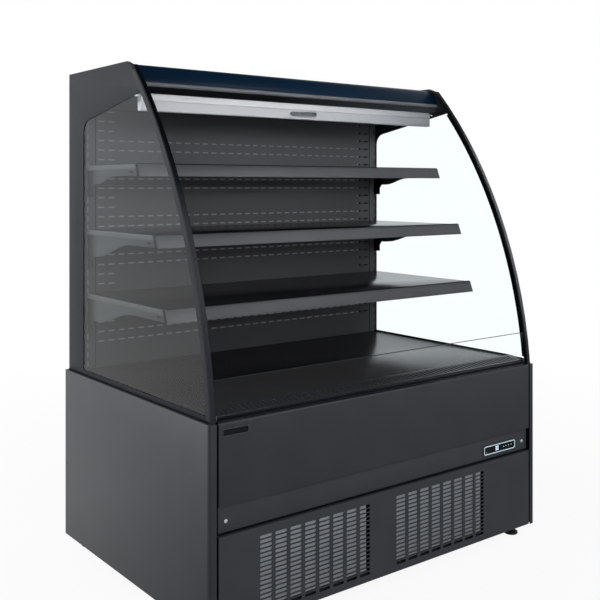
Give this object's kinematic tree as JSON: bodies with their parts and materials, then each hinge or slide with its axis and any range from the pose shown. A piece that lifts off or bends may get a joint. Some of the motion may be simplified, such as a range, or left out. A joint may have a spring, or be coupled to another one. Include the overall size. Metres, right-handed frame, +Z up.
{
  "type": "open multideck display fridge",
  "caption": "Open-front refrigerated display cabinet with curved glass sides, slanted-rail shelves, a pull-down night blind and a vented base.",
  "frame": {"origin": "on the floor, under the middle of the cabinet's box", "axes": "+Z up, +Y towards the back, +X to the right of a shopper in front"},
  "size_m": [1.11, 0.76, 1.325],
  "materials": {
    "dark_powder_coat": "satin, fine-textured powder coat",
    "shelf_coat": "semi-gloss powder coat",
    "navy_gloss": "gloss enamel",
    "black_edge_channel": "semi-gloss black",
    "bead_plastic": "satin extruded plastic",
    "clear_glass": "polished, faint green tint",
    "white_blind_bar": "white lacquer",
    "blind_fabric": "coated woven fabric",
    "galvanised_sheet": "zinc spangle",
    "foam_panel": "steel-skinned foam, light grey",
    "coil_aluminium": "bare fins",
    "black_plastic": "moulded",
    "foot_plastic": "moulded",
    "compressor_black": "semi-gloss enamel",
    "lamp_diffuser": "opal diffuser"
  },
  "bodies": {
    "cabinet": {"base_side_left": "dark_powder_coat", "base_side_right": "dark_powder_coat", "grille_panel": "dark_powder_coat", "control_strip": "dark_powder_coat", "fascia": "dark_powder_coat", "side_frame_left": "dark_powder_coat", "side_frame_right": "dark_powder_coat", "upright_left": "dark_powder_coat", "upright_right": "dark_powder_coat", "rear_wall": "dark_powder_coat", "ceiling_panel": "dark_powder_coat", "blind_cassette": "dark_powder_coat", "deck": "shelf_coat", "return_air_grille": "shelf_coat", "shelf_top": "shelf_coat", "price_rail_top": "shelf_coat", "shelf_middle": "shelf_coat", "price_rail_middle": "shelf_coat", "shelf_bottom": "shelf_coat", "price_rail_bottom": "shelf_coat", "bracket_top_left": "shelf_coat", "bracket_top_right": "shelf_coat", "bracket_middle_left": "shelf_coat", "bracket_middle_right": "shelf_coat", "bracket_bottom_left": "shelf_coat", "bracket_bottom_right": "shelf_coat", "canopy_front": "navy_gloss", "edge_trim_left": "black_edge_channel", "edge_trim_right": "black_edge_channel", "canopy_bead": "bead_plastic", "side_glass_left": "clear_glass", "side_glass_right": "clear_glass", "front_glass": "clear_glass", "base_pan": "galvanised_sheet", "rear_vent_cover": "galvanised_sheet", "dust_filter": "galvanised_sheet", "evaporator_fan_plate": "galvanised_sheet", "tub": "foam_panel", "back_panel": "foam_panel", "roof_panel": "foam_panel", "condenser": "coil_aluminium", "evaporator": "coil_aluminium", "controller": "black_plastic", "compressor": "compressor_black", "lamp_strip": "lamp_diffuser"},
    "blind": {"blind_bar": "white_blind_bar", "blind_handle": "bead_plastic", "blind_fabric": "blind_fabric"},
    "blind_tube": {"blind_roller": "blind_fabric"},
    "condenser_rotor": {"condenser_fan": "black_plastic"},
    "evaporator_rotor_left": {"evaporator_fan_left": "black_plastic"},
    "evaporator_rotor_right": {"evaporator_fan_right": "black_plastic"},
    "key_1": {"controller_key_1": "black_plastic"},
    "key_2": {"controller_key_2": "black_plastic"},
    "key_3": {"controller_key_3": "black_plastic"},
    "key_4": {"controller_key_4": "black_plastic"},
    "levelling_front_left": {"foot_front_left": "foot_plastic"},
    "levelling_front_right": {"foot_front_right": "foot_plastic"},
    "levelling_rear_left": {"foot_rear_left": "foot_plastic"},
    "levelling_rear_right": {"foot_rear_right": "foot_plastic"}
  },
  "joints": [
    {"name": "blind_pull", "type": "slide", "parent": "cabinet", "child": "blind", "axis": [0, -0.5175, -0.8557], "range_m": [0, 0.714], "stiffness_N_per_m": 40, "springref_m": -0.85, "deforming": ["blind_fabric"]},
    {"name": "blind_roller_turn", "type": "hinge", "parent": "cabinet", "child": "blind_tube", "pos_m": [0, 0.041, 1.2738], "axis": [1, 0, 0], "range_deg": [0, 2100]},
    {"name": "condenser_fan_turn", "type": "hinge", "parent": "cabinet", "child": "condenser_rotor", "pos_m": [-0.255, -0.247, 0.1323], "axis": [0, 1, 0], "continuous": true},
    {"name": "evaporator_fan_left_turn", "type": "hinge", "parent": "cabinet", "child": "evaporator_rotor_left", "pos_m": [-0.24, -0.048, 0.42475], "axis": [0, 1, 0], "continuous": true},
    {"name": "evaporator_fan_right_turn", "type": "hinge", "parent": "cabinet", "child": "evaporator_rotor_right", "pos_m": [0.24, -0.048, 0.42475], "axis": [0, 1, 0], "continuous": true},
    {"name": "key_1_press", "type": "slide", "parent": "cabinet", "child": "key_1", "axis": [0, 1, 0], "range_m": [0, 0.0008], "stiffness_N_per_m": 300},
    {"name": "key_2_press", "type": "slide", "parent": "cabinet", "child": "key_2", "axis": [0, 1, 0], "range_m": [0, 0.0008], "stiffness_N_per_m": 300},
    {"name": "key_3_press", "type": "slide", "parent": "cabinet", "child": "key_3", "axis": [0, 1, 0], "range_m": [0, 0.0008], "stiffness_N_per_m": 300},
    {"name": "key_4_press", "type": "slide", "parent": "cabinet", "child": "key_4", "axis": [0, 1, 0], "range_m": [0, 0.0008], "stiffness_N_per_m": 300},
    {"name": "foot_front_left_turn", "type": "hinge", "parent": "cabinet", "child": "levelling_front_left", "pos_m": [-0.505, -0.335, 0], "axis": [0, 0, 1], "range_deg": [-720, 720]},
    {"name": "foot_front_right_turn", "type": "hinge", "parent": "cabinet", "child": "levelling_front_right", "pos_m": [0.505, -0.335, 0], "axis": [0, 0, 1], "range_deg": [-720, 720]},
    {"name": "foot_rear_left_turn", "type": "hinge", "parent": "cabinet", "child": "levelling_rear_left", "pos_m": [-0.505, 0.335, 0], "axis": [0, 0, 1], "range_deg": [-720, 720]},
    {"name": "foot_rear_right_turn", "type": "hinge", "parent": "cabinet", "child": "levelling_rear_right", "pos_m": [0.505, 0.335, 0], "axis": [0, 0, 1], "range_deg": [-720, 720]}
  ],
  "couplings": [
    {"joint": "blind_roller_turn", "follows": "blind_pull", "rad_per_m": 50}
  ]
}
